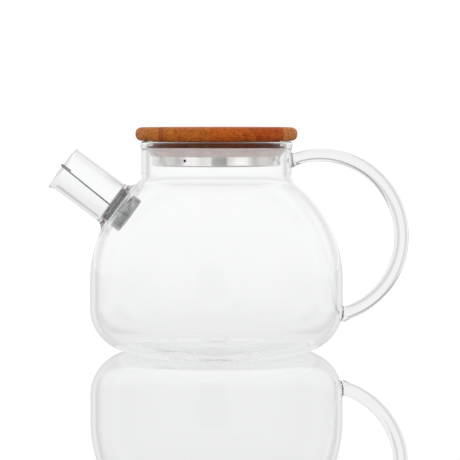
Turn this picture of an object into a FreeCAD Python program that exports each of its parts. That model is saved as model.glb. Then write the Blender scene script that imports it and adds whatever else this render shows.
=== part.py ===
import FreeCAD, Part
import math
import os

import Sketcher

# A glass teapot: a blown vessel with a spout and a rod handle welded to it, a lift-off bamboo lid with a
# steel cup and a silicone seal, and a coiled wire filter that slips out of the spout.
# Millimetres, +Z up. The origin is on the vessel's axis, on the surface that the teapot stands on. The
# handle is on the +X side and the spout on the -X side.

SIZES = {
    # Vessel: belly and shoulder are one sphere, which meets a rounded heel at the sphere's centre level.
    "body_radius": 70.0,
    "belly_level": 39.0,
    "heel_radius": 24.0,
    "wall": 2.4,
    # Foot: a flat ring to stand on, round a shallow dome with a thick navel in its middle.
    "foot_ring_radius": 40.0,
    "dome_rise": 2.5,
    "navel_foot_radius": 10.5,
    "navel_rise": 1.2,
    # Neck: a concave sweep from the shoulder, a straight neck and a thickened, fire-polished rim.
    "neck_radius": 41.6,
    "neck_fillet": 6.0,
    "bead_start_level": 111.6,
    "bead_swell": 0.6,
    "rim_level": 116.4,
    # Spout: a straight tube whose axis runs through the sphere's centre. Distances along it are measured
    # from that centre.
    "spout_rise_angle": 36.8,
    "spout_radius": 12.7,
    "spout_wall": 1.5,
    "spout_mouth": 105.9,
    "spout_weld_fillet": 5.8,
    "lip_reach": 1.3,
    "lip_length": 4.5,
    # Handle: a solid glass rod bent to a circular arc in the plane of the spout.
    "handle_centre_x": 57.6,
    "handle_centre_level": 63.7,
    "handle_bend_radius": 45.05,
    "handle_lower_radius": 3.7,
    "handle_mid_radius": 4.0,
    "handle_upper_radius": 3.3,
    "handle_pad_radius": 4.8,
    "handle_pad_length": 3.4,
    "handle_root_depth": 1.2,
    # Filter: one wire, coiled in the root of the spout and hooked over the near side of its mouth.
    "wire_radius": 0.425,
    "coil_radius": 10.4,
    "coil_top": 71.5,
    "coil_pitch": 1.25,
    "coil_turns": 9.0,
    "spiral_pitch": 1.3,
    "spiral_turns": 7.0,
    "tail_tilt": 2.2,
    "tail_drop": 1.6,
    "tail_bend_radius": 1.2,
    "hook_radius": 1.5,
    "hook_lean": 17.0,
    "hook_overhang": 0.75,
    "hook_leg": 4.5,
    "filter_turn": 3.9,
    # Lid: a bamboo disc glued up from four staves, with a turned spigot.
    "lid_radius": 44.8,
    "lid_under_level": 116.7,
    "lid_top_level": 124.1,
    "lid_edge_rounding": 3.3,
    "spigot_radius": 35.2,
    "spigot_foot_level": 107.0,
    "first_stave_joint": -28.2,
    "stave_width": 24.8,
    # Steel cup, pressed over the spigot.
    "cup_radius": 35.6,
    "cup_wall": 0.6,
    "cup_floor_level": 102.8,
    "cup_corner": 0.9,
    "cup_edge_level": 113.4,
    "vent_radius": 0.8,
    "vent_level": 106.2,
    "vent_angle": 27.8,
    # Silicone seal, stretched round the cup.
    "seal_lip_radius": 39.0,
    "seal_top_level": 113.5,
    "seal_lip_foot_level": 111.9,
    "seal_foot_level": 108.2,
    "seal_foot_wall": 0.35,
    # Room left between pieces that are pressed together.
    "fit": 0.05,
    # How far a cutting shape runs past what it cuts.
    "cutter_excess": 1.0,
}

# Lengths worked out from the sizes, as expressions.
NECK_BORE = "(Size.neck_radius - Size.wall)"
SWEEP_X = "(Size.neck_radius + Size.neck_fillet)"
SWEEP_REACH = "(Size.body_radius + Size.neck_fillet)"
SWEEP_RISE = f"sqrt({SWEEP_REACH}^2 - {SWEEP_X}^2)"
SWEEP_LEVEL = f"(Size.belly_level + {SWEEP_RISE})"
HEEL_X = "(Size.body_radius - Size.heel_radius)"
INNER_SPHERE = "(Size.body_radius - Size.wall)"
INNER_HEEL = "(Size.heel_radius - Size.wall)"
DOME_RADIUS = "(Size.foot_ring_radius^2 + Size.dome_rise^2) / (2 * Size.dome_rise)"
BEAD_X = "(Size.neck_radius + Size.bead_swell)"
BEAD_RADIUS = "((Size.bead_swell + Size.wall) / 2)"
SPOUT_BORE = "(Size.spout_radius - Size.spout_wall)"
CUP_BORE = "(Size.cup_radius - Size.cup_wall)"
STAVE_COUNT = 4
WIRE_VOLUME_TOLERANCE = 0.01

doc = FreeCAD.newDocument("glass_teapot")
sheet = doc.addObject("Spreadsheet::Sheet", "Size")
for row, (alias, size) in enumerate(SIZES.items(), start=1):
    sheet.set(f"A{row}", alias)
    sheet.set(f"B{row}", str(size))
    sheet.setAlias(f"B{row}", alias)
doc.recompute()


def number(expression):
    """The value that an expression has with the sizes in the sheet."""
    return float(sheet.evalExpression(expression))


def bind(target, **sizes):
    """Bind an object's properties to expressions."""
    for name, expression in sizes.items():
        target.setExpression(name, expression)


def new_body(name):
    return doc.addObject("PartDesign::Body", name)


def origin_plane(body, role):
    return next(plane for plane in body.Origin.OriginFeatures if plane.Role == role)


def new_sketch(body, name, role="XZ_Plane"):
    sketch = body.newObject("Sketcher::SketchObject", name)
    sketch.AttachmentSupport = [(origin_plane(body, role), "")]
    sketch.MapMode = "FlatFace"
    return sketch


def dimension(sketch, kind, where, expression):
    """Add a dimension to a sketch and bind it to an expression."""
    index = sketch.addConstraint(Sketcher.Constraint(kind, *where, number(expression)))
    sketch.setExpression(f"Constraints[{index}]", expression)


def fix_point(sketch, edge, end, x, y):
    """Dimension one end of an edge from the sketch's origin."""
    for kind, axis, expression in (("DistanceX", -2, x), ("DistanceY", -1, y)):
        if expression == "0":
            sketch.addConstraint(Sketcher.Constraint("PointOnObject", edge, end, axis))
        else:
            dimension(sketch, kind, (-1, 1, edge, end), expression)


def arc_between(start, end, radius, side):
    """The shorter arc from start to end, with its centre on the given side of the way from one to the other."""
    half = (end - start) / 2
    to_centre = FreeCAD.Vector(-half.y, half.x, 0).normalize()
    sign = 1 if side == "left" else -1
    centre = start + half + to_centre * sign * math.sqrt(max(radius**2 - half.Length**2, 0))
    first, last = (start, end) if side == "left" else (end, start)
    angles = [math.atan2(point.y - centre.y, point.x - centre.x) for point in (first, last)]
    circle = Part.Circle(centre, FreeCAD.Vector(0, 0, 1), radius)
    return Part.ArcOfCircle(circle, *angles)


def add_outline(body, name, corners):
    """A closed sketch on the XZ plane, dimensioned at every corner.

    A corner is (x, z), reached by a straight edge, or (x, z, radius, side), reached by an arc whose centre
    lies on that side of the way.
    """
    sketch = new_sketch(body, name)
    points = [FreeCAD.Vector(number(corner[0]), number(corner[1]), 0) for corner in corners]
    ends = []
    for i, corner in enumerate(corners):
        if len(corner) == 2:
            edge = sketch.addGeometry(Part.LineSegment(points[i - 1], points[i]), False)
            ends.append((1, 2))
        else:
            radius, side = corner[2:]
            arc = arc_between(points[i - 1], points[i], number(radius), side)
            edge = sketch.addGeometry(arc, False)
            ends.append((1, 2) if side == "left" else (2, 1))
    for i, corner in enumerate(corners):
        following = (i + 1) % len(corners)
        sketch.addConstraint(Sketcher.Constraint("Coincident", i, ends[i][1], following, ends[following][0]))
        fix_point(sketch, i, ends[i][1], corner[0], corner[1])
        if len(corner) == 4 and "0" in (corner[0], corners[i - 1][0]):
            # an arc that meets the axis turns into part of a sphere, whose centre is on the axis
            sketch.addConstraint(Sketcher.Constraint("PointOnObject", i, 3, -2))
        elif len(corner) == 4:
            dimension(sketch, "Radius", (i,), corner[2])
    return sketch


def turned_body(name, corners):
    """A body turned round its own Z axis from one closed outline."""
    body = new_body(name)
    outline = add_outline(body, f"{name}_outline", corners)
    turn = body.newObject("PartDesign::Revolution", f"{name}_turn")
    turn.Profile = outline
    turn.ReferenceAxis = (outline, ["V_Axis"])
    turn.Angle = 360
    return body


def cut(name, base, tool):
    result = doc.addObject("Part::Cut", name)
    result.Base = base
    result.Tool = tool
    return result


def fuse(name, shapes):
    result = doc.addObject("Part::MultiFuse", name)
    result.Shapes = shapes
    return result


# The spout's frame: local Z is its axis and local X points up, towards the lid.
spout_turn = FreeCAD.Rotation(FreeCAD.Vector(0, -1, 0), 90 - number("Size.spout_rise_angle"))
spout_frame = FreeCAD.Placement(FreeCAD.Vector(0, 0, number("Size.belly_level")), spout_turn)


def put_in_spout_frame(target):
    target.Placement = spout_frame
    target.setExpression("Placement.Base.z", "Size.belly_level")
    target.setExpression("Placement.Rotation.Angle", "90 - Size.spout_rise_angle")


def make_vessel():
    """The outer shape and the hollow of the vessel. Returns the outer shape and the finished glass."""
    outer = turned_body(
        "vessel_outer",
        [
            ("0", "Size.dome_rise"),
            ("Size.foot_ring_radius", "0", DOME_RADIUS, "right"),
            (HEEL_X, "0"),
            ("Size.body_radius", "Size.heel_radius", "Size.heel_radius", "left"),
            ("Size.body_radius", "Size.belly_level"),
            (
                f"{SWEEP_X} * Size.body_radius / {SWEEP_REACH}",
                f"Size.belly_level + {SWEEP_RISE} * Size.body_radius / {SWEEP_REACH}",
                "Size.body_radius",
                "left",
            ),
            ("Size.neck_radius", SWEEP_LEVEL, "Size.neck_fillet", "right"),
            ("Size.neck_radius", "Size.bead_start_level"),
            (BEAD_X, f"Size.rim_level - {BEAD_RADIUS}"),
            (f"{BEAD_X} - {BEAD_RADIUS}", "Size.rim_level", BEAD_RADIUS, "left"),
            (NECK_BORE, f"Size.rim_level - {BEAD_RADIUS}", BEAD_RADIUS, "left"),
            ("0", f"Size.rim_level - {BEAD_RADIUS}"),
        ],
    )
    hollow = turned_body(
        "vessel_hollow",
        [
            ("0", "Size.dome_rise + Size.wall + Size.navel_rise"),
            ("Size.navel_foot_radius", "Size.dome_rise + Size.wall"),
            (HEEL_X, "Size.wall"),
            (INNER_SPHERE, "Size.heel_radius", INNER_HEEL, "left"),
            (INNER_SPHERE, "Size.belly_level"),
            (
                f"{SWEEP_X} * {INNER_SPHERE} / {SWEEP_REACH}",
                f"Size.belly_level + {SWEEP_RISE} * {INNER_SPHERE} / {SWEEP_REACH}",
                INNER_SPHERE,
                "left",
            ),
            (NECK_BORE, SWEEP_LEVEL, "Size.neck_fillet + Size.wall", "right"),
            (NECK_BORE, "Size.rim_level + Size.cutter_excess"),
            ("0", "Size.rim_level + Size.cutter_excess"),
        ],
    )
    spout_bore = doc.addObject("Part::Cylinder", "spout_bore")
    bind(spout_bore, Radius=SPOUT_BORE, Height="Size.body_radius")
    put_in_spout_frame(spout_bore)
    blown = cut("blown_glass", outer, hollow)
    return outer, cut("glass_body", blown, spout_bore)


def add_ring_sketch(body, name, distance, radius, shift):
    """A circle square to the body's Z axis, at a distance along it and shifted along X."""
    sketch = new_sketch(body, name, "XY_Plane")
    sketch.AttachmentOffset = FreeCAD.Placement(FreeCAD.Vector(0, 0, number(distance)), FreeCAD.Rotation())
    sketch.setExpression("AttachmentOffset.Base.z", distance)
    centre = FreeCAD.Vector(number(shift), 0, 0)
    sketch.addGeometry(Part.Circle(centre, FreeCAD.Vector(0, 0, 1), number(radius)), False)
    dimension(sketch, "Radius", (0,), radius)
    fix_point(sketch, 0, 3, shift, "0")
    return sketch


def make_spout():
    """The spout tube with its welded root on the sphere and a small drip lip under its mouth."""
    # the weld's fillet touches both the sphere and the tube
    fillet_x = "(Size.spout_radius + Size.spout_weld_fillet)"
    fillet_reach = "(Size.body_radius + Size.spout_weld_fillet)"
    fillet_top = f"sqrt({fillet_reach}^2 - {fillet_x}^2)"
    on_sphere = f"Size.body_radius / {fillet_reach}"
    rounding = "Size.spout_wall / 2"
    body = turned_body(
        "spout",
        [
            ("0", "Size.body_radius"),
            (f"{fillet_x} * {on_sphere}", f"{fillet_top} * {on_sphere}", "Size.body_radius", "right"),
            ("Size.spout_radius", fillet_top, "Size.spout_weld_fillet", "right"),
            ("Size.spout_radius", f"Size.spout_mouth - {rounding}"),
            (f"Size.spout_radius - {rounding}", "Size.spout_mouth", rounding, "left"),
            ("0", "Size.spout_mouth"),
        ],
    )
    put_in_spout_frame(body)
    doc.recompute()

    lip_start = "Size.spout_mouth - Size.lip_length"
    low = add_ring_sketch(body, "lip_start", lip_start, "Size.spout_radius", "0")
    high = add_ring_sketch(body, "lip_end", "Size.spout_mouth", "Size.spout_radius", "-Size.lip_reach")
    lip = body.newObject("PartDesign::AdditiveLoft", "lip")
    lip.Profile = low
    lip.Sections = [(high, [""])]
    lip.Ruled = True
    doc.recompute()

    bore = body.newObject("PartDesign::Pocket", "spout_tube_bore")
    bore.Profile = add_ring_sketch(body, "mouth_circle", "Size.spout_mouth", SPOUT_BORE, "0")
    bind(bore, Length="Size.spout_mouth - Size.coil_top + Size.spout_radius")
    doc.recompute()
    return body


def handle_point(angle):
    """A point on the handle's centreline, at an angle about the centre of its bend."""
    radius = number("Size.handle_bend_radius")
    x = number("Size.handle_centre_x") + radius * math.cos(angle)
    z = number("Size.handle_centre_level") + radius * math.sin(angle)
    return FreeCAD.Vector(x, 0, z)


def make_handle(vessel_outer):
    """The handle rod, thickest in the middle, with a flared pad at each end, cut to the vessel's surface."""
    radius = number("Size.handle_bend_radius")
    root_depth = number("Size.handle_root_depth")
    upper_x = number("Size.neck_radius") - root_depth
    lower_x = number("Size.body_radius") - root_depth
    centre_x = number("Size.handle_centre_x")
    upper = math.acos((upper_x - centre_x) / radius)
    lower = -math.acos((lower_x - centre_x) / radius)

    rod = new_body("handle_rod")
    path = new_sketch(rod, "handle_path")
    centre = FreeCAD.Vector(centre_x, number("Size.handle_centre_level"), 0)
    circle = Part.Circle(centre, FreeCAD.Vector(0, 0, 1), radius)
    path.addGeometry(Part.ArcOfCircle(circle, lower, upper), False)
    fix_point(path, 0, 3, "Size.handle_centre_x", "Size.handle_centre_level")
    dimension(path, "Radius", (0,), "Size.handle_bend_radius")
    dimension(path, "DistanceX", (-1, 1, 0, 1), "Size.body_radius - Size.handle_root_depth")
    dimension(path, "DistanceX", (-1, 1, 0, 2), "Size.neck_radius - Size.handle_root_depth")

    sections = []
    for place, angle, size in (
        ("lower", lower, "Size.handle_lower_radius"),
        ("middle", (lower + upper) / 2, "Size.handle_mid_radius"),
        ("upper", upper, "Size.handle_upper_radius"),
    ):
        section = new_sketch(rod, f"handle_{place}_section", "XY_Plane")
        tilt = FreeCAD.Rotation(FreeCAD.Vector(0, 1, 0), -math.degrees(angle))
        base = FreeCAD.Vector(centre_x, 0, number("Size.handle_centre_level"))
        section.AttachmentOffset = FreeCAD.Placement(base, tilt)
        round_section = Part.Circle(FreeCAD.Vector(radius, 0, 0), FreeCAD.Vector(0, 0, 1), number(size))
        section.addGeometry(round_section, False)
        fix_point(section, 0, 3, "Size.handle_bend_radius", "0")
        dimension(section, "Radius", (0,), size)
        sections.append(section)
    sweep = rod.newObject("PartDesign::AdditivePipe", "handle_sweep")
    sweep.Profile = sections[0]
    sweep.Spine = (path, ["Edge1"])
    sweep.Transformation = "Multisection"
    sweep.Sections = [(section, [""]) for section in sections[1:]]

    pads = []
    for place, angle, way in (("lower", lower, 1), ("upper", upper, -1)):
        pad = doc.addObject("Part::Cone", f"handle_{place}_pad")
        bind(
            pad,
            Radius1="Size.handle_pad_radius",
            Radius2=f"Size.handle_{place}_radius",
            Height="Size.handle_pad_length",
        )
        along = FreeCAD.Vector(-math.sin(angle), 0, math.cos(angle)) * way
        turn = FreeCAD.Rotation(FreeCAD.Vector(0, 0, 1), along)
        pad.Placement = FreeCAD.Placement(handle_point(angle), turn)
        pads.append(pad)
    return cut("handle", fuse("handle_blank", [rod, *pads]), vessel_outer)


def bend(before, corner, after, radius):
    """The arc that rounds a corner of a path, tangent to both of its straight runs."""
    to_before = (before - corner).normalize()
    to_after = (after - corner).normalize()
    half_angle = to_before.getAngle(to_after) / 2
    start = corner + to_before * (radius / math.tan(half_angle))
    end = corner + to_after * (radius / math.tan(half_angle))
    inward = (to_before + to_after).normalize()
    middle = corner + inward * (radius / math.sin(half_angle) - radius)
    return Part.Arc(start, middle, end)


def coil_arcs():
    """Half turns from the top of the coil down, then a flat spiral that closes its inner end."""
    radius = number("Size.coil_radius")
    level = number("Size.coil_top")
    drop = number("Size.coil_pitch / 2")
    shrink = number("Size.spiral_pitch / 2")
    half_turns = round(number("Size.coil_turns * 2"))
    spiral_half_turns = round(number("Size.spiral_turns * 2"))
    start = FreeCAD.Vector(0, -radius, level)
    arcs = []
    for k in range(half_turns + spiral_half_turns):
        way = 1 if k % 2 == 0 else -1
        if k < half_turns:
            level -= drop
        else:
            radius -= shrink
        end = FreeCAD.Vector(0, way * radius, level)
        centre = (start + end) / 2
        middle = centre + FreeCAD.Vector(way * (end - start).Length / 2, 0, 0)
        arcs.append(Part.Arc(start, middle, end))
        start = end
    return arcs


def make_filter():
    """The spout filter: one wire, from the hook on the mouth down the tube and into the coil."""
    tilt = math.radians(number("Size.tail_tilt"))
    lean = math.radians(number("Size.hook_lean"))
    hook_radius = number("Size.hook_radius")
    arcs = coil_arcs()
    coil_start = arcs[0].StartPoint
    corner = coil_start - FreeCAD.Vector(number("Size.tail_drop"), 0, 0)
    along = FreeCAD.Vector(math.sin(tilt), 0, math.cos(tilt))
    across = FreeCAD.Vector(
        math.sin(lean) * math.cos(tilt), -math.cos(lean), -math.sin(lean) * math.sin(tilt)
    )
    rise = number("Size.spout_mouth - Size.hook_overhang - Size.coil_top") / along.z
    hook_foot = corner + along * rise
    leg_top = hook_foot + across * (2 * hook_radius)
    hook_top = hook_foot + (across + along) * hook_radius
    leg_end = leg_top - along * number("Size.hook_leg")
    tail_bend = bend(hook_foot, corner, coil_start, number("Size.tail_bend_radius"))

    edges = [
        Part.LineSegment(leg_end, leg_top),
        Part.Arc(leg_top, hook_top, hook_foot),
        Part.LineSegment(hook_foot, tail_bend.StartPoint),
        tail_bend,
        Part.LineSegment(tail_bend.EndPoint, coil_start),
        *arcs,
    ]
    path = Part.Wire([edge.toShape() for edge in edges])
    wire_radius = number("Size.wire_radius")
    section = Part.Wire([Part.Circle(leg_end, along, wire_radius).toShape()])
    wire = path.makePipe(Part.Face(section))
    expected = math.pi * wire_radius**2 * path.Length
    if abs(wire.Volume / expected - 1) > WIRE_VOLUME_TOLERANCE:
        raise ValueError(f"the filter's wire has {wire.Volume:.1f} mm3, not {expected:.1f} mm3")
    spout_filter = doc.addObject("Part::Feature", "spout_filter")
    spout_filter.Shape = wire
    turn = FreeCAD.Rotation(FreeCAD.Vector(0, 0, 1), number("Size.filter_turn"))
    spout_filter.Placement = spout_frame * FreeCAD.Placement(FreeCAD.Vector(), turn)
    return spout_filter


def make_lid_staves():
    """The turned bamboo disc with its spigot, parted into the four staves it is glued up from."""
    edge = "Size.lid_edge_rounding"
    blank = turned_body(
        "lid_blank",
        [
            ("0", "Size.spigot_foot_level"),
            (f"{CUP_BORE} - Size.fit", "Size.spigot_foot_level"),
            (f"{CUP_BORE} - Size.fit", "Size.cup_edge_level + Size.fit"),
            ("Size.spigot_radius", "Size.cup_edge_level + Size.fit"),
            ("Size.spigot_radius", "Size.lid_under_level"),
            (f"Size.lid_radius - {edge}", "Size.lid_under_level"),
            ("Size.lid_radius", f"Size.lid_under_level + {edge}", edge, "left"),
            ("Size.lid_radius", f"Size.lid_top_level - {edge}"),
            (f"Size.lid_radius - {edge}", "Size.lid_top_level", edge, "left"),
            ("0", "Size.lid_top_level"),
        ],
    )
    edge_of_blank = "(Size.lid_radius + Size.cutter_excess)"
    joints = [f"Size.first_stave_joint + {k} * Size.stave_width" for k in range(STAVE_COUNT - 1)]
    sides = [f"-{edge_of_blank}", *joints, edge_of_blank]
    staves = []
    for k, (left, right) in enumerate(zip(sides, sides[1:]), start=1):
        strip = doc.addObject("Part::Box", f"stave_{k}_strip")
        bind(
            strip,
            Length=f"{right} - ({left})",
            Width=f"2 * {edge_of_blank}",
            Height="Size.lid_top_level",
        )
        strip.setExpression("Placement.Base.x", left)
        strip.setExpression("Placement.Base.y", f"-{edge_of_blank}")
        strip.setExpression("Placement.Base.z", "Size.spigot_foot_level - Size.cutter_excess")
        stave = doc.addObject("Part::Common", f"lid_stave_{k}")
        stave.Base = blank
        stave.Tool = strip
        staves.append(stave)
    return staves


def make_steel_cup():
    """The drawn steel cup under the lid, with a small vent hole in its skirt."""
    inner_corner = "Size.cup_corner - Size.cup_wall"
    shell = turned_body(
        "steel_shell",
        [
            ("0", "Size.cup_floor_level"),
            ("Size.cup_radius - Size.cup_corner", "Size.cup_floor_level"),
            ("Size.cup_radius", "Size.cup_floor_level + Size.cup_corner", "Size.cup_corner", "left"),
            ("Size.cup_radius", "Size.cup_edge_level"),
            (CUP_BORE, "Size.cup_edge_level"),
            (CUP_BORE, "Size.cup_floor_level + Size.cup_corner"),
            (
                f"{CUP_BORE} - ({inner_corner})",
                "Size.cup_floor_level + Size.cup_wall",
                inner_corner,
                "right",
            ),
            ("0", "Size.cup_floor_level + Size.cup_wall"),
        ],
    )
    vent = doc.addObject("Part::Cylinder", "vent_drill")
    bind(vent, Radius="Size.vent_radius", Height="Size.cup_radius + Size.cutter_excess")
    angle = math.radians(number("Size.vent_angle"))
    outward = FreeCAD.Vector(-math.sin(angle), -math.cos(angle), 0)
    turn = FreeCAD.Rotation(FreeCAD.Vector(0, 0, 1), outward)
    vent.Placement = FreeCAD.Placement(FreeCAD.Vector(0, 0, number("Size.vent_level")), turn)
    return cut("steel_cup", shell, vent)


def make_seal():
    """The silicone seal: a sleeve on the cup that swells upwards into one round lip."""
    bore = "Size.cup_radius + Size.fit"
    rounding = "(Size.seal_top_level - Size.seal_lip_foot_level) / 2"
    return turned_body(
        "silicone_seal",
        [
            (bore, "Size.seal_foot_level"),
            (f"{bore} + Size.seal_foot_wall", "Size.seal_foot_level"),
            (f"Size.seal_lip_radius - {rounding}", "Size.seal_lip_foot_level"),
            ("Size.seal_lip_radius", f"Size.seal_top_level - {rounding}", rounding, "left"),
            (f"Size.seal_lip_radius - {rounding}", "Size.seal_top_level", rounding, "left"),
            (bore, "Size.seal_top_level"),
        ],
    )


vessel_outer, glass_body = make_vessel()
pieces = [
    glass_body,
    make_spout(),
    make_handle(vessel_outer),
    make_filter(),
    *make_lid_staves(),
    make_steel_cup(),
    make_seal(),
]
doc.recompute()

for item in doc.Objects:
    if "Invalid" in item.State or "Error" in item.State:
        raise ValueError(f"{item.Label} failed: {item.State}")

os.makedirs("parts", exist_ok=True)
for piece in pieces:
    shape = piece.Shape
    if shape.isNull() or not shape.isValid():
        raise ValueError(f"{piece.Label} has no valid shape")
    shape.exportStep(f"parts/{piece.Label}.step")
    print(f"{piece.Label}: {len(shape.Solids)} solid(s), {shape.Volume:.0f} mm3, {shape.BoundBox}")
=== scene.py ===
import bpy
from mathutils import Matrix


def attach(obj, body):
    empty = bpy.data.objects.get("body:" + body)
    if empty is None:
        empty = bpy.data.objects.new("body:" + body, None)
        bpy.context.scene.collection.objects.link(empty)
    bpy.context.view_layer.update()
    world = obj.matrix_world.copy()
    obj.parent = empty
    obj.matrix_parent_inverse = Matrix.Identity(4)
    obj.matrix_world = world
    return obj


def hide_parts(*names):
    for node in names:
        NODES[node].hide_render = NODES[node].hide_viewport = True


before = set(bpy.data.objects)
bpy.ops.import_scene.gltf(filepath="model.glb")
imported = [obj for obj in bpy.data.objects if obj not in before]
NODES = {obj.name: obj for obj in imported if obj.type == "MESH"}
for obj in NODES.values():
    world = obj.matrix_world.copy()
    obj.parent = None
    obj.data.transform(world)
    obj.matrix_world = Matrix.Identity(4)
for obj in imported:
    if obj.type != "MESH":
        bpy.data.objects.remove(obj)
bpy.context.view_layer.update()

import math

import bmesh
import bpy
from mathutils import Matrix, Vector, noise

# A glass teapot with a bamboo lid, in metres. Lengths are given in millimetres and multiplied by MM.
MM = 0.001

# Glass vessel, as in the CAD model
BODY_RADIUS = 70.0
BELLY_LEVEL = 39.0
HEEL_RADIUS = 24.0
WALL = 2.4
FOOT_RING_RADIUS = 40.0
DOME_RISE = 2.5
NAVEL_RADIUS = 10.5
NAVEL_RISE = 1.2
FOOT_RIPPLE_RADIUS = 22.8
FOOT_RIPPLE_WIDTH = 2.6
FOOT_RIPPLE_RISE = 0.16
NECK_RADIUS = 41.6
NECK_FILLET = 6.0
BEAD_START_LEVEL = 111.6
BEAD_SWELL = 0.6
RIM_LEVEL = 116.4
# Spout, measured along its axis from the centre of the body's sphere
SPOUT_RISE = math.radians(36.8)
SPOUT_RADIUS = 12.7
SPOUT_WALL = 1.5
SPOUT_MOUTH = 105.9
SPOUT_FILLET = 5.8
LIP_REACH = 1.3
LIP_LENGTH = 4.5
WELD_CREASE = 6.0
# Thick ring of glass inside the vessel, round the way into the spout
COLLAR_BORE = 9.0
COLLAR_RADIUS = 18.6
COLLAR_SWELL = 2.0
COLLAR_RIPPLE = 0.22
COLLAR_RIPPLES = 3.5
# Handle rod
HANDLE_CENTRE = (57.6, 63.7)
HANDLE_BEND = 45.05
HANDLE_LOWER_RADIUS = 3.7
HANDLE_MID_RADIUS = 4.0
HANDLE_UPPER_RADIUS = 3.3
HANDLE_FLARE = 0.7
HANDLE_ROOT_DEPTH = 1.2
WELD_REACH = 1.6
# Fineness of the glass mesh, and the widest sliver that is closed up where two pieces of glass were joined
SLIVER_WIDTH = 0.004
VESSEL_SEGMENTS = 200
SPOUT_SEGMENTS = 112
HANDLE_STEPS = 200
# Lid: below this level the bamboo is darkened as painted shade, for the shade under the disc
DISC_FOOT = 116.7
# Filter wire
WIRE_RADIUS = 0.425
COIL_RADIUS = 10.4
COIL_TOP = 71.5
COIL_PITCH = 1.25
COIL_TURNS = 9
SPIRAL_PITCH = 1.3
SPIRAL_TURNS = 7
TAIL_TILT = math.radians(2.2)
TAIL_DROP = 1.6
HOOK_RADIUS = 1.5
HOOK_LEAN = math.radians(17.0)
FILTER_TURN = math.radians(3.9)
HOOK_OVERHANG = 0.75
HOOK_LEG = 4.5
# Brightness of the surroundings: seen straight, through the pot's walls or its solid rods, mirrored by glass,
# mirrored inside glass, mirrored by metal, and as light on matt surfaces, in the open or behind glass.
# Heights are the upward part of a direction of length 1.
OPEN_LEVEL = 1.06
THROUGH_LEVEL = 0.99
THROUGH_LOW_LEVEL = 0.885
SIDE_LEVEL = 0.34
ROD_LEVEL = THROUGH_LOW_LEVEL * 1.03
ROD_DARK = 0.78
ROD_BAND_HEIGHT = 0.37
ROD_BAND_DARK = 0.55
EDGE_LEVEL = 0.62
STEEP_EDGE_LEVEL = 0.3
INSIDE_LEVEL = 0.93
METAL_LEVEL = 1.2
METAL_DARK = 0.14
AMBIENT_LEVEL = 0.8
INNER_AMBIENT_LEVEL = 1.3
# A dim upright stripe in front of the pot, which only metal mirrors
LENS_TURN = math.radians(4.7)
LENS_SPREAD = math.radians(12.5)
LENS_HEIGHT = 0.3
# The floor lies this far below the foot, so that no face of one touches the other
FLOOR_GAP = 0.12

# Local Z is the spout's axis and local X points up, towards the lid.
SPOUT_FRAME = Matrix.Translation((0, 0, BELLY_LEVEL)) @ Matrix.Rotation(SPOUT_RISE - math.pi / 2, 4, "Y")


# ---------------------------------------------------------------- mesh helpers


def new_object(name, mesh):
    piece = bpy.data.objects.new(name, mesh)
    bpy.context.scene.collection.objects.link(piece)
    return piece


def mesh_from(name, bm, smooth=True):
    """Closes a bmesh into a mesh, in metres, with its normals pointing out."""
    bmesh.ops.recalc_face_normals(bm, faces=bm.faces)
    bmesh.ops.scale(bm, vec=(MM, MM, MM), verts=bm.verts)
    mesh = bpy.data.meshes.new(name)
    bm.to_mesh(mesh)
    bm.free()
    mesh.polygons.foreach_set("use_smooth", [smooth] * len(mesh.polygons))
    return mesh


def arc(centre_x, centre_z, radius, start, end, steps):
    """Points on an arc, from one angle to the other, in degrees."""
    points = []
    for k in range(steps + 1):
        angle = math.radians(start + (end - start) * k / steps)
        points.append((centre_x + radius * math.cos(angle), centre_z + radius * math.sin(angle)))
    return points


def line(start, end, steps):
    """Points from start to end, without start."""
    return [
        (start[0] + (end[0] - start[0]) * k / steps, start[1] + (end[1] - start[1]) * k / steps)
        for k in range(1, steps + 1)
    ]


def bridge(bm, low, high):
    """Faces between two rings, either of which may be a single point."""
    count = max(len(low), len(high))
    for k in range(count):
        following = (k + 1) % count
        if len(low) == 1:
            bm.faces.new((low[0], high[following], high[k]))
        elif len(high) == 1:
            bm.faces.new((low[k], low[following], high[0]))
        else:
            bm.faces.new((low[k], low[following], high[following], high[k]))


def lathe(profile, segments, closed=False, frame_matrix=None, shift=None):
    """A bmesh turned round Z from (radius, height) points. A closed profile joins its end to its start."""
    bm = bmesh.new()
    rings = []
    for radius, level in profile:
        if radius < 1e-6:
            rings.append([bm.verts.new((0, 0, level))])
            continue
        ring = []
        for k in range(segments):
            angle = 2 * math.pi * k / segments
            point = Vector((radius * math.cos(angle), radius * math.sin(angle), level))
            ring.append(bm.verts.new(shift(point) if shift else point))
        rings.append(ring)
    for low, high in zip(rings, rings[1:]):
        bridge(bm, low, high)
    if closed:
        bridge(bm, rings[-1], rings[0])
    if frame_matrix:
        bmesh.ops.transform(bm, matrix=frame_matrix, verts=bm.verts)
    return bm


def tube(points, radii, sides):
    """A bmesh swept along points with a round section, without twist and closed at both ends."""
    bm = bmesh.new()
    tangents = []
    for k, point in enumerate(points):
        before, after = points[max(k - 1, 0)], points[min(k + 1, len(points) - 1)]
        tangents.append((after - before).normalized())
    side = tangents[0].orthogonal().normalized()
    rings = []
    for point, tangent, radius in zip(points, tangents, radii):
        side = (side - tangent * side.dot(tangent)).normalized()
        other = tangent.cross(side)
        ring = []
        for k in range(sides):
            angle = 2 * math.pi * k / sides
            offset = side * math.cos(angle) + other * math.sin(angle)
            ring.append(bm.verts.new(point + offset * radius))
        rings.append(ring)
    for low, high in zip(rings, rings[1:]):
        bridge(bm, low, high)
    for end, beyond in ((0, -1), (-1, 1)):
        tip = bm.verts.new(points[end] + tangents[end] * beyond * radii[end] * 0.3)
        bridge(bm, rings[end], [tip])
    return bm


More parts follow.
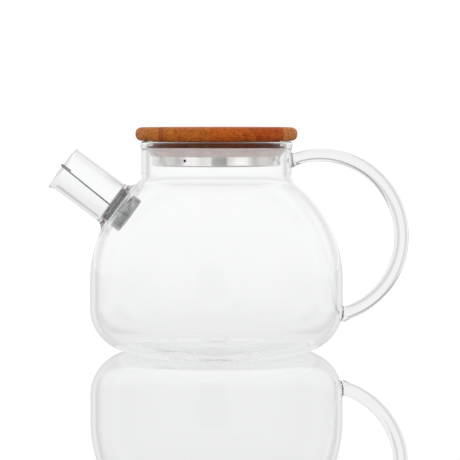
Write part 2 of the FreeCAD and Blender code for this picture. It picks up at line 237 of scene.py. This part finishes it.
def combine(base, tool, operation):
    """The base object's mesh after a boolean with the tool object, which is removed."""
    step = base.modifiers.new("join", "BOOLEAN")
    step.operation = operation
    step.solver = "MANIFOLD"
    step.object = tool
    bpy.context.view_layer.update()
    evaluated = base.evaluated_get(bpy.context.evaluated_depsgraph_get())
    mesh = bpy.data.meshes.new_from_object(evaluated)
    base.modifiers.clear()
    base.data = mesh
    bpy.data.objects.remove(tool)


def smoothstep(value):
    value = min(max(value, 0.0), 1.0)
    return value * value * (3 - 2 * value)


# ---------------------------------------------------------------- glass


def inner_floor(radius):
    """Level of the inside of the foot: a gentle cone with a faint ring and a thick navel."""
    slope = DOME_RISE * (1 - smoothstep(radius / (BODY_RADIUS - HEEL_RADIUS)))
    navel = NAVEL_RISE * (1 - smoothstep(radius / NAVEL_RADIUS))
    ring = FOOT_RIPPLE_RISE * math.exp(-(((radius - FOOT_RIPPLE_RADIUS) / FOOT_RIPPLE_WIDTH) ** 2))
    return WALL + slope + navel + ring


def vessel_profile():
    """Half section of the blown vessel, up its outside, over the rim and down its inside."""
    heel_x = BODY_RADIUS - HEEL_RADIUS
    sweep_x = NECK_RADIUS + NECK_FILLET
    sweep_rise = math.sqrt((BODY_RADIUS + NECK_FILLET) ** 2 - sweep_x**2)
    sweep_level = BELLY_LEVEL + sweep_rise
    sweep_angle = math.degrees(math.atan2(sweep_rise, sweep_x))
    bead = (BEAD_SWELL + WALL) / 2
    bead_x = NECK_RADIUS + BEAD_SWELL - bead
    bead_level = RIM_LEVEL - bead
    bore = NECK_RADIUS - WALL
    bead_rise = bead_level - BEAD_START_LEVEL
    dome = [
        (FOOT_RING_RADIUS * k / 16, DOME_RISE * (1 - smoothstep(k / 16) * 0.6 - 0.4 * (k / 16) ** 2))
        for k in range(17)
    ]
    outside = [
        *dome,
        *line(dome[-1], (heel_x, 0), 3)[:-1],
        *arc(heel_x, HEEL_RADIUS, HEEL_RADIUS, -90, 0, 36),
        *line((BODY_RADIUS, HEEL_RADIUS), (BODY_RADIUS, BELLY_LEVEL), 8)[:-1],
        *arc(0, BELLY_LEVEL, BODY_RADIUS, 0, sweep_angle, 60),
        *arc(sweep_x, sweep_level, NECK_FILLET, sweep_angle - 180, -180, 12)[1:],
        *line((NECK_RADIUS, sweep_level), (NECK_RADIUS, BEAD_START_LEVEL), 22),
        *[
            (NECK_RADIUS + BEAD_SWELL * smoothstep(k / 6), BEAD_START_LEVEL + bead_rise * k / 6)
            for k in range(1, 6)
        ],
        *arc(bead_x, bead_level, bead, 0, 90, 8),
    ]
    floor_steps = 40
    inside = [
        *arc(bead_x, bead_level, bead, 90, 180, 8)[1:],
        *line((bore, bead_level), (bore, sweep_level), 10),
        *arc(sweep_x, sweep_level, NECK_FILLET + WALL, -180, sweep_angle - 180, 12)[1:],
        *arc(0, BELLY_LEVEL, BODY_RADIUS - WALL, sweep_angle, 0, 60)[1:],
        *line((BODY_RADIUS - WALL, BELLY_LEVEL), (BODY_RADIUS - WALL, HEEL_RADIUS), 8),
        *arc(heel_x, HEEL_RADIUS, HEEL_RADIUS - WALL, 0, -90, 36)[1:],
        *[
            (heel_x * (1 - k / floor_steps), inner_floor(heel_x * (1 - k / floor_steps)))
            for k in range(1, floor_steps + 1)
        ],
    ]
    return outside + inside


def drip_lip(point):
    """Draws the lower side of the spout's mouth outwards."""
    along = smoothstep((point.z - SPOUT_MOUTH + LIP_LENGTH) / LIP_LENGTH) ** 1.5
    radius = math.hypot(point.x, point.y)
    below = max(-point.x / radius, 0) ** 2.5
    return point - Vector((LIP_REACH * along * below, 0, 0.25 * along * below))


def on_sphere(radius, sphere):
    """A point of a sphere round the spout frame's origin, at a distance from the spout's axis."""
    return (radius, math.sqrt(sphere**2 - radius**2))


def spout_profile():
    """Half outline of the spout without its bore, from a plug in the vessel's wall up to the mouth."""
    fillet_r, fillet_d = on_sphere(SPOUT_RADIUS + SPOUT_FILLET, BODY_RADIUS + SPOUT_FILLET)
    touch = 180 + math.degrees(math.atan2(fillet_d, fillet_r)) - WELD_CREASE
    edge = SPOUT_WALL / 2
    plug = [on_sphere(fillet_r * k / 6, BODY_RADIUS - WALL * 0.6) for k in range(7)]
    flare = arc(fillet_r, fillet_d, SPOUT_FILLET, 180, touch, 14)
    slope = math.radians(touch)
    skirt = (flare[-1][0] - math.sin(slope) * 1.2, flare[-1][1] + math.cos(slope) * 1.2)
    return [
        *plug,
        skirt,
        *reversed(flare),
        *line((SPOUT_RADIUS, fillet_d), (SPOUT_RADIUS, SPOUT_MOUTH - LIP_LENGTH), 24),
        *line((SPOUT_RADIUS, SPOUT_MOUTH - LIP_LENGTH), (SPOUT_RADIUS, SPOUT_MOUTH - edge), 8)[:-1],
        *arc(SPOUT_RADIUS - edge, SPOUT_MOUTH - edge, edge, 0, 90, 8),
        (0, SPOUT_MOUTH),
    ]


def spout_bore_profile():
    """Half outline of the spout's bore, from well inside the vessel out past the rounded mouth."""
    bore = SPOUT_RADIUS - SPOUT_WALL
    edge = SPOUT_WALL / 2
    funnel = arc(bore + 3.0, BODY_RADIUS - 2.6, 3.0, 250, 180, 10)
    return [
        (0, BODY_RADIUS - 14),
        (bore + 3.4, BODY_RADIUS - 14),
        *funnel,
        *line((bore, BODY_RADIUS - 2.6), (bore, SPOUT_MOUTH - LIP_LENGTH), 24),
        *line((bore, SPOUT_MOUTH - LIP_LENGTH), (bore, SPOUT_MOUTH - edge), 8)[:-1],
        *arc(SPOUT_RADIUS - edge, SPOUT_MOUTH - edge, edge, 180, 90, 8),
        (SPOUT_RADIUS - edge, SPOUT_MOUTH + 1),
        (0, SPOUT_MOUTH + 1),
    ]


def collar_profile():
    """Section of the collar: on the inner sphere at its outer edge, thickest at the bore, with soft rings."""
    inner = BODY_RADIUS - WALL
    face = []
    for k in range(41):
        share = k / 40
        radius, level = on_sphere(COLLAR_BORE + (COLLAR_RADIUS - COLLAR_BORE) * share, inner)
        ripple = COLLAR_RIPPLE * math.cos(2 * math.pi * COLLAR_RIPPLES * share) * math.sin(math.pi * share)
        face.append((radius, level - COLLAR_SWELL * (1 - smoothstep(share)) - ripple))
    return [*face, on_sphere(COLLAR_RADIUS + 0.6, inner + 0.8), on_sphere(COLLAR_BORE, inner + 0.8)]


def uneven(point):
    """Moves a point of the collar a little, as glass that was worked by hand."""
    turn = math.atan2(point.y, point.x)
    wave = noise.noise(Vector((math.cos(turn), math.sin(turn), point.z * 0.05)) * 1.6)
    return Vector((point.x * (1 + 0.03 * wave), point.y * (1 + 0.03 * wave), point.z + 0.35 * wave))


def handle_rod():
    """The rod along its arc, thickest in the middle and flared where it is fused to the vessel."""
    lower_x = BODY_RADIUS - HANDLE_ROOT_DEPTH
    upper_x = NECK_RADIUS - HANDLE_ROOT_DEPTH
    lower = -math.acos((lower_x - HANDLE_CENTRE[0]) / HANDLE_BEND)
    upper = math.acos((upper_x - HANDLE_CENTRE[0]) / HANDLE_BEND)
    steps = HANDLE_STEPS
    points, radii = [], []
    for k in range(steps + 1):
        share = k / steps
        angle = lower + (upper - lower) * share
        points.append(
            Vector(
                (
                    HANDLE_CENTRE[0] + HANDLE_BEND * math.cos(angle),
                    0,
                    HANDLE_CENTRE[1] + HANDLE_BEND * math.sin(angle),
                )
            )
        )
        from_end = min(share, 1 - share) * (upper - lower) * HANDLE_BEND - HANDLE_ROOT_DEPTH
        flare = HANDLE_FLARE * math.exp(-((max(from_end, 0) / 1.7) ** 1.5))
        taper = math.sin(math.pi * share) ** 0.8
        end_radius = HANDLE_LOWER_RADIUS if share < 0.5 else HANDLE_UPPER_RADIUS
        radii.append(end_radius + (HANDLE_MID_RADIUS - end_radius) * taper + flare)
    return tube(points, radii, 48)


def finish_welds(mesh):
    """Closes up slivers in the glass and melts the creases where the handle meets the neck and the belly."""
    centre = Vector((HANDLE_CENTRE[0], 0, HANDLE_CENTRE[1]))
    bm = bmesh.new()
    bm.from_mesh(mesh)
    bmesh.ops.remove_doubles(bm, verts=bm.verts, dist=SLIVER_WIDTH * MM)
    bmesh.ops.dissolve_degenerate(bm, edges=bm.edges, dist=SLIVER_WIDTH * MM)
    soft = []
    for vert in bm.verts:
        point = vert.co / MM
        ring_offset = math.hypot(point.x - centre.x, point.z - centre.z) - HANDLE_BEND
        from_rod = math.hypot(ring_offset, point.y)
        from_axis = math.hypot(point.x, point.y)
        wall = NECK_RADIUS if point.z > centre.z else BODY_RADIUS
        at_wall = abs(from_axis - wall) < WELD_REACH
        if point.x > 0 and at_wall and from_rod < HANDLE_LOWER_RADIUS + WELD_REACH * 1.6:
            soft.append(vert)
    for _ in range(5):
        bmesh.ops.smooth_vert(bm, verts=soft, factor=0.5, use_axis_x=True, use_axis_y=True, use_axis_z=True)
    bm.to_mesh(mesh)
    bm.free()
    mesh.polygons.foreach_set("use_smooth", [True] * len(mesh.polygons))


def make_vessel():
    """The vessel with its spout and handle, fused into one piece of glass."""
    vessel = new_object("vessel_glass", mesh_from("vessel_glass", lathe(vessel_profile(), VESSEL_SEGMENTS)))
    spout = lathe(spout_profile(), SPOUT_SEGMENTS, frame_matrix=SPOUT_FRAME, shift=drip_lip)
    collar = lathe(collar_profile(), SPOUT_SEGMENTS, closed=True, frame_matrix=SPOUT_FRAME, shift=uneven)
    bore = lathe(spout_bore_profile(), SPOUT_SEGMENTS, frame_matrix=SPOUT_FRAME, shift=drip_lip)
    for name, bm, operation in (
        ("spout_tube", spout, "UNION"),
        ("collar", collar, "UNION"),
        ("rod", handle_rod(), "UNION"),
        ("bore", bore, "DIFFERENCE"),
    ):
        combine(vessel, new_object(name, mesh_from(name, bm)), operation)
    finish_welds(vessel.data)
    return vessel


# ---------------------------------------------------------------- filter wire


def filter_path():
    """Centreline of the filter's wire in the spout's frame: hook, tail, coil and closing spiral."""
    along = Vector((math.sin(TAIL_TILT), 0, math.cos(TAIL_TILT)))
    across = Vector(
        (
            math.sin(HOOK_LEAN) * math.cos(TAIL_TILT),
            -math.cos(HOOK_LEAN),
            -math.sin(HOOK_LEAN) * math.sin(TAIL_TILT),
        )
    )
    coil_start = Vector((0, -COIL_RADIUS, COIL_TOP))
    corner = coil_start - Vector((TAIL_DROP, 0, 0))
    hook_foot = corner + along * ((SPOUT_MOUTH - HOOK_OVERHANG - COIL_TOP) / along.z)
    leg_top = hook_foot + across * 2 * HOOK_RADIUS
    hook_centre = hook_foot + across * HOOK_RADIUS

    points = [leg_top - along * HOOK_LEG * (1 - k / 6) for k in range(6)]
    for k in range(17):
        turn = math.pi * k / 16
        points.append(hook_centre + (across * math.cos(turn) + along * math.sin(turn)) * HOOK_RADIUS)
    bend_start = corner + along * 1.26
    points += [hook_foot.lerp(bend_start, k / 24) for k in range(1, 25)]
    bend_end = corner + Vector((1.26, 0, 0))
    for k in range(1, 9):
        share = k / 8
        points.append(bend_start.lerp(corner, share).lerp(corner.lerp(bend_end, share), share))
    per_turn = 72
    for k in range(COIL_TURNS * per_turn + 1):
        turn = 2 * math.pi * k / per_turn
        level = COIL_TOP - COIL_PITCH * k / per_turn
        points.append(Vector((COIL_RADIUS * math.sin(turn), -COIL_RADIUS * math.cos(turn), level)))
    level = COIL_TOP - COIL_PITCH * COIL_TURNS
    for k in range(1, SPIRAL_TURNS * per_turn + 1):
        turn = 2 * math.pi * k / per_turn
        radius = COIL_RADIUS - SPIRAL_PITCH * k / per_turn
        points.append(Vector((radius * math.sin(turn), -radius * math.cos(turn), level)))
    return points


def make_filter():
    place = SPOUT_FRAME @ Matrix.Rotation(FILTER_TURN, 4, "Z")
    points = [place @ point for point in filter_path()]
    bm = tube(points, [WIRE_RADIUS] * len(points), 14)
    return new_object("filter_wire", mesh_from("filter_wire", bm))


# ---------------------------------------------------------------- materials


class Shader:
    """A material's node tree with short calls to add and link nodes."""

    def __init__(self, name):
        self.material = bpy.data.materials.new(name)
        self.material.use_nodes = True
        self.tree = self.material.node_tree
        self.tree.nodes.clear()
        self.output = self.tree.nodes.new("ShaderNodeOutputMaterial")
        self.surface = self.tree.nodes.new("ShaderNodeBsdfPrincipled")
        self.tree.links.new(self.surface.outputs[0], self.output.inputs["Surface"])
        self.coordinates = self.node("TexCoord").outputs["Object"]

    def node(self, kind, **settings):
        made = self.tree.nodes.new(f"ShaderNode{kind}")
        for key, value in settings.items():
            setattr(made, key, value)
        return made

    def fill(self, made, **inputs):
        """Sets or links inputs, given by name with _ for spaces, or by i0, i1 for their number."""
        for key, value in inputs.items():
            numbered = key[0] == "i" and key[1:].isdigit()
            socket = made.inputs[int(key[1:]) if numbered else key.replace("_", " ")]
            if isinstance(value, bpy.types.NodeSocket):
                self.tree.links.new(value, socket)
            else:
                socket.default_value = value
        return made

    def scaled(self, scale, location=(0, 0, 0)):
        """Object coordinates divided into cells of the given size in millimetres."""
        mapping = self.node("Mapping")
        inverse = [1 / (size * MM) for size in scale]
        self.fill(mapping, Vector=self.coordinates, Scale=inverse, Location=location)
        return mapping.outputs[0]

    def noise(self, vector, detail=3.0, roughness=0.5, distortion=0.0):
        made = self.node("TexNoise")
        self.fill(made, Vector=vector, Scale=1.0, Detail=detail, Roughness=roughness, Distortion=distortion)
        return made.outputs[0]

    def voronoi(self, vector):
        made = self.node("TexVoronoi")
        self.fill(made, Vector=vector, Scale=1.0, Randomness=1.0)
        return made

    def ramp(self, value, stops, smooth=False):
        made = self.node("ValToRGB")
        if smooth:
            made.color_ramp.interpolation = "EASE"
        elements = made.color_ramp.elements
        while len(elements) < len(stops):
            elements.new(0.5)
        for element, (place, colour) in zip(elements, stops):
            element.position = place
            element.color = (*colour, 1) if len(colour) == 3 else colour
        self.fill(made, Fac=value)
        return made.outputs[0]

    def span(self, value, low, high, to_low=0.0, to_high=1.0):
        made = self.node("MapRange")
        self.fill(made, i0=value, i1=low, i2=high, i3=to_low, i4=to_high)
        return made.outputs[0]

    def math(self, operation, first, second=0.0):
        made = self.node("Math", operation=operation)
        self.fill(made, i0=first, i1=second)
        return made.outputs[0]

    def mix(self, factor, first, second):
        made = self.node("Mix", data_type="RGBA")
        self.fill(made, i0=factor, i6=first, i7=second)
        return made.outputs[2]

    def bump(self, height, strength, distance):
        made = self.node("Bump")
        self.fill(made, Height=height, Strength=strength, Distance=distance * MM)
        self.fill(self.surface, Normal=made.outputs[0])


def glass_material():
    """Clear borosilicate with the faint waviness of a blown surface."""
    shader = Shader("clear_glass")
    waves = shader.noise(shader.scaled((26, 26, 14)), detail=1.0)
    smudge = shader.noise(shader.scaled((9, 9, 9)), detail=4.0)
    shader.fill(
        shader.surface,
        Base_Color=(0.985, 0.99, 0.988, 1),
        Roughness=shader.span(smudge, 0.45, 0.8, 0.0, 0.02),
        IOR=1.47,
        Transmission_Weight=1.0,
        Specular_Tint=(0.3, 0.3, 0.3, 1),
    )
    shader.bump(waves, 0.02, 0.5)
    return shader.material


def bamboo_material(name, tone, strip, seed):
    """Bamboo with its fibres along Y: streaks on the faces, dark bundle ends in paler flesh on the end grain.

    One thinner strip of the stave, from and to a place across the lid, has a tone of its own.
    """
    light, middle, dark = tone
    start, end, strip_tone = strip
    shader = Shader(name)
    place = (seed * 3.1, seed * 7.7, seed * 1.3)
    broad = shader.noise(shader.scaled((7, 110, 5), location=place), detail=4.0, distortion=0.4)
    fibres = shader.noise(shader.scaled((0.8, 45, 0.8), location=place), detail=4.0, roughness=0.7)
    bundles = shader.voronoi(shader.scaled((0.72, 30, 0.66), location=place))
    sizes = shader.noise(shader.scaled((2.2, 30, 2.2), location=place), detail=2.0)
    reach = shader.span(sizes, 0.3, 0.7, 0.2, 0.52)
    dots = shader.span(shader.math("DIVIDE", bundles.outputs["Distance"], reach), 0.55, 1.15, 1.0, 0.0)
    across = shader.node("SeparateXYZ")
    shader.fill(across, i0=shader.scaled((1, 1, 1)))
    after_start = shader.span(across.outputs["X"], start - 0.35, start + 0.35)
    before_end = shader.span(across.outputs["X"], end - 0.35, end + 0.35, 1.0, 0.0)
    in_strip = shader.math("MULTIPLY", after_start, before_end)
    base = shader.ramp(broad, [(0.32, dark), (0.5, middle), (0.68, light)], smooth=True)
    base = shader.mix(shader.math("MULTIPLY", in_strip, 0.92), base, (*strip_tone, 1))
    streaked = shader.mix(shader.span(fibres, 0.38, 0.66, 0.0, 0.6), base, (*dark, 1))
    speckled_and_shaded = shader.mix(shader.math("MULTIPLY", dots, 0.9), streaked, tuple(c * 0.18 for c in dark) + (1,))
    # Painted shade: below the disc's foot the bamboo is mixed up to 55 % towards a dark tone, for the shade
    # under the disc
    painted_shade_below_disc = shader.span(across.outputs["Z"], DISC_FOOT - 0.6, DISC_FOOT + 0.2, 0.55, 0.0)
    speckled_and_shaded = shader.mix(painted_shade_below_disc, speckled_and_shaded, tuple(c * 0.3 for c in dark) + (1,))
    shader.fill(
        shader.surface,
        Base_Color=speckled_and_shaded,
        Roughness=shader.span(fibres, 0.3, 0.7, 0.5, 0.7),
        Specular_IOR_Level=0.16,
    )
    height = shader.math("SUBTRACT", fibres, shader.math("MULTIPLY", dots, 0.8))
    shader.bump(height, 0.5, 0.15)
    return shader.material


def steel_material():
    """Drawn stainless steel with fine rings of polishing round the cup."""
    shader = Shader("cup_steel")
    rings = shader.noise(shader.scaled((60, 60, 0.12)), detail=3.0, roughness=0.7)
    cloudy = shader.noise(shader.scaled((14, 14, 5)), detail=2.0)
    warm, cool = (0.90, 0.885, 0.865, 1), (0.84, 0.81, 0.81, 1)
    shade = shader.mix(shader.span(cloudy, 0.3, 0.7, 0.0, 1.0), warm, cool)
    shader.fill(
        shader.surface,
        Base_Color=shade,
        Metallic=1.0,
        Roughness=shader.span(rings, 0.3, 0.7, 0.10, 0.20),
    )
    shader.bump(rings, 0.12, 0.05)
    return shader.material


def wire_material():
    """Drawn wire with lengthwise marks, its colour painted dark as shade, for the dark room that the wire
    mirrors.
    """
    shader = Shader("filter_wire")
    marks = shader.noise(shader.scaled((0.9, 0.9, 0.9)), detail=4.0)
    # Painted shade: the base colour, 0.30 to 0.42, is far darker than steel, standing in for the dark room
    # that the wire would mirror
    shade = shader.mix(shader.span(marks, 0.35, 0.65, 0.0, 1.0), (0.30, 0.30, 0.31, 1), (0.42, 0.42, 0.43, 1))
    shader.fill(
        shader.surface,
        Base_Color=shade,
        Metallic=1.0,
        Roughness=shader.span(marks, 0.35, 0.65, 0.14, 0.28),
    )
    shader.bump(marks, 0.08, 0.05)
    return shader.material


def silicone_material():
    """Milky translucent silicone with fine moulding flow lines."""
    shader = Shader("seal_silicone")
    flow = shader.noise(shader.scaled((18, 18, 0.5)), detail=3.0)
    cloud = shader.noise(shader.scaled((6, 6, 6)), detail=2.0)
    shade = shader.mix(shader.span(cloud, 0.3, 0.7, 0.0, 1.0), (0.93, 0.76, 0.75, 1), (0.97, 0.85, 0.84, 1))
    shader.fill(
        shader.surface,
        Base_Color=shade,
        Roughness=shader.span(flow, 0.3, 0.7, 0.22, 0.34),
        IOR=1.41,
        Subsurface_Weight=0.3,
        Subsurface_Radius=(1.0, 0.8, 0.75),
        Subsurface_Scale=0.001,
    )
    shader.bump(flow, 0.1, 0.05)
    return shader.material


def floor_material():
    """A polished white sheet that mirrors what stands on it, painted darker round the pot."""
    shader = Shader("floor_white")
    grain = shader.noise(shader.scaled((140, 140, 140)), detail=2.0)
    distance = shader.node("VectorMath", operation="LENGTH")
    shader.fill(distance, i0=shader.scaled((1000, 1000, 1000)))
    far = shader.span(distance.outputs["Value"], 0.1, 2.5)
    # Painted shade: the mirror's colour is 0.955 within 0.1 m of the pot's centre and rises to 0.99 at 2.5 m,
    # which dims the floor and the pot's reflection near the pot
    painted_shade_near_pot = shader.ramp(far, [(0.0, (0.955,) * 3), (1.0, (0.99,) * 3)])
    shader.fill(
        shader.surface,
        Base_Color=painted_shade_near_pot,
        Metallic=1.0,
        Roughness=shader.span(grain, 0.3, 0.7, 0.0, 0.02),
    )
    return shader.material


def dress(piece, material):
    piece.data.materials.clear()
    piece.data.materials.append(material)


# ---------------------------------------------------------------- stage


def make_camera():
    """A long lens a little above the lid's level, looking along +Y."""
    target = Vector((7.5, 0, 67.2)) * MM
    lens = bpy.data.cameras.new("camera")
    lens.sensor_width = 36
    lens.lens = 186.6
    lens.clip_start = 0.1
    lens.clip_end = 50
    camera = new_object("camera", lens)
    camera.location = Vector((7.5, -1320, 135)) * MM
    camera.rotation_mode = "QUATERNION"
    camera.rotation_quaternion = (target - camera.location).to_track_quat("-Z", "Y")
    bpy.context.scene.camera = camera


class WorldNodes:
    """The world's node tree with short calls to add and link nodes."""

    def __init__(self, name):
        self.world = bpy.data.worlds.new(name)
        self.world.use_nodes = True
        self.tree = self.world.node_tree
        self.tree.nodes.clear()

    def node(self, kind, **settings):
        made = self.tree.nodes.new(f"ShaderNode{kind}")
        for key, value in settings.items():
            setattr(made, key, value)
        return made

    def fill(self, made, *inputs):
        for socket, value in zip(made.inputs, inputs):
            if isinstance(value, bpy.types.NodeSocket):
                self.tree.links.new(value, socket)
            elif value is not None:
                socket.default_value = value
        return made.outputs[0] if made.outputs else None

    def math(self, operation, *inputs):
        return self.fill(self.node("Math", operation=operation), *inputs)

    def span(self, value, low, high, to_low, to_high):
        made = self.node("MapRange", interpolation_type="SMOOTHSTEP")
        return self.fill(made, value, low, high, to_low, to_high)

    def choose(self, condition, if_false, if_true):
        """A number that is if_true where the condition is 1."""
        return self.fill(self.node("Mix", data_type="FLOAT"), condition, None, if_false, if_true)


def make_world():
    """A white studio with upright dimmer bands between the eight points of the compass.

    Light that reaches the camera straight or off the floor comes from white surroundings. Glass bends light
    from the dimmer bands, which draws its edges, and the bands are the same on every side of the pot. The
    brightness depends on how a ray has travelled, by the Light Path node, so this isn't a physical room.
    """
    nodes = WorldNodes("white_room")
    bpy.context.scene.world = nodes.world
    parts = nodes.node("SeparateXYZ")
    nodes.fill(parts, nodes.node("TexCoord").outputs["Generated"])
    across, along, upward = parts.outputs
    azimuth = nodes.math("ARCTAN2", across, along)
    sideways = nodes.math("ABSOLUTE", across)
    path = nodes.node("LightPath")
    mirrored = path.outputs["Glossy Depth"]
    passed = path.outputs["Transmission Depth"]
    entered = nodes.math("GREATER_THAN", passed, 0.5)
    through_walls = nodes.math("GREATER_THAN", passed, 2.5)
    unmirrored = nodes.math("LESS_THAN", mirrored, 0.5)
    twice_mirrored = nodes.math("GREATER_THAN", mirrored, 1.5)

    eighths = nodes.math("COSINE", nodes.math("MULTIPLY", azimuth, 8.0))
    stripes = nodes.span(eighths, -0.9, 0.3, ROD_DARK, 1.0)
    height = nodes.math("ABSOLUTE", nodes.math("SUBTRACT", upward, ROD_BAND_HEIGHT))
    band = nodes.span(height, 0.05, 0.14, ROD_BAND_DARK, 1.0)
    rod_view = nodes.math("MULTIPLY", stripes, nodes.choose(unmirrored, 1.0, band))
    rod_view = nodes.math("MULTIPLY", rod_view, ROD_LEVEL)

    behind = nodes.span(upward, 0.02, 0.13, THROUGH_LEVEL, THROUGH_LOW_LEVEL)
    room = nodes.math("MULTIPLY", behind, nodes.span(eighths, -1.0, 0.4, SIDE_LEVEL, 1.0))
    room = nodes.math("MAXIMUM", room, nodes.span(upward, 0.45, 0.75, 0.0, 1.0))
    once = nodes.choose(entered, OPEN_LEVEL, nodes.choose(through_walls, rod_view, room))

    to_lens = nodes.math(
        "ADD",
        nodes.math("MULTIPLY", across, math.sin(LENS_TURN)),
        nodes.math("MULTIPLY", along, -math.cos(LENS_TURN)),
    )
    edge, middle = math.cos(LENS_SPREAD * 1.2), math.cos(LENS_SPREAD)
    lens_view = nodes.span(to_lens, edge, middle, METAL_LEVEL, METAL_DARK)
    level_with_lens = nodes.math("LESS_THAN", nodes.math("ABSOLUTE", upward), LENS_HEIGHT)
    metal_view = nodes.choose(level_with_lens, METAL_LEVEL, lens_view)
    metal_view = nodes.math("MULTIPLY", metal_view, nodes.span(upward, 0.25, 0.6, 1.0, 0.45))
    metal_view = nodes.math("MULTIPLY", metal_view, nodes.span(sideways, 0.8, 1.0, 1.0, 0.55))
    metal_view = nodes.choose(nodes.math("GREATER_THAN", along, 0.5), metal_view, THROUGH_LOW_LEVEL)
    inside_view = nodes.choose(through_walls, INSIDE_LEVEL, metal_view)
    edge_view = nodes.span(upward, 0.17, 0.5, EDGE_LEVEL, STEEP_EDGE_LEVEL)
    twice = nodes.choose(entered, edge_view, inside_view)

    level = nodes.choose(twice_mirrored, once, twice)
    scattered = nodes.math("GREATER_THAN", path.outputs["Diffuse Depth"], 0.5)
    ambient = nodes.choose(entered, AMBIENT_LEVEL, INNER_AMBIENT_LEVEL)
    level = nodes.choose(scattered, level, ambient)
    background = nodes.node("Background")
    nodes.fill(background, (1, 1, 1, 1), level)
    output = nodes.node("OutputWorld")
    nodes.fill(output, background.outputs[0])


def area_light(name, place, target, size, power):
    light = bpy.data.lights.new(name, "AREA")
    light.shape = "RECTANGLE"
    light.size, light.size_y = size
    light.energy = power
    lamp = new_object(name, light)
    lamp.location = Vector(place)
    lamp.rotation_mode = "QUATERNION"
    lamp.rotation_quaternion = (Vector(target) - lamp.location).to_track_quat("-Z", "Y")
    lamp.visible_camera = False
    lamp.visible_glossy = False
    lamp.visible_transmission = False


def make_floor():
    bm = bmesh.new()
    bmesh.ops.create_circle(bm, cap_ends=True, segments=96, radius=9000)
    floor = new_object("floor", mesh_from("floor", bm, smooth=False))
    floor.location.z = -FLOOR_GAP * MM
    dress(floor, floor_material())


def make_lights():
    centre = (0, 0, 0.07)
    area_light("overhead_softbox", (0, 0.1, 1.3), centre, (1.4, 1.4), 2.5)
    area_light("front_softbox", (-0.9, -1.2, 0.3), centre, (0.6, 0.8), 5.0)
    area_light("side_softbox", (1.1, -0.8, 0.3), centre, (0.5, 0.8), 3.0)


# ---------------------------------------------------------------- the object

make_camera()
make_world()
make_floor()
make_lights()

vessel = make_vessel()
dress(vessel, glass_material())
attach(vessel, "vessel")
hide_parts("glass_body", "spout", "handle")

wire = make_filter()
dress(wire, wire_material())
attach(wire, "filter")
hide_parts("spout_filter")

STAVE_TONES = [
    ((0.58, 0.210, 0.040), (0.49, 0.150, 0.022), (0.37, 0.095, 0.012)),
    ((0.53, 0.165, 0.024), (0.47, 0.126, 0.014), (0.35, 0.078, 0.007)),
    ((0.54, 0.132, 0.013), (0.48, 0.098, 0.007), (0.34, 0.060, 0.004)),
    ((0.48, 0.095, 0.008), (0.42, 0.068, 0.004), (0.30, 0.041, 0.002)),
]
# In each stave, a strip from and to a place along X, in millimetres, and its tone
STAVE_STRIPS = [
    (-31.1, -28.2, (0.30, 0.060, 0.008)),
    (-9.0, -6.2, (0.44, 0.110, 0.012)),
    (14.0, 17.0, (0.46, 0.090, 0.007)),
    (36.6, 45.0, (0.62, 0.230, 0.045)),
]
for k, (tone, strip) in enumerate(zip(STAVE_TONES, STAVE_STRIPS), start=1):
    dress(NODES[f"lid_stave_{k}"], bamboo_material(f"bamboo_{k}", tone, strip, k))
dress(NODES["steel_cup"], steel_material())
dress(NODES["silicone_seal"], silicone_material())

scene = bpy.context.scene
scene.view_settings.view_transform = "Standard"
scene.cycles.max_bounces = 128
scene.cycles.transmission_bounces = 96
scene.cycles.glossy_bounces = 96
scene.cycles.transparent_max_bounces = 16
scene.cycles.caustics_reflective = True
scene.cycles.caustics_refractive = True
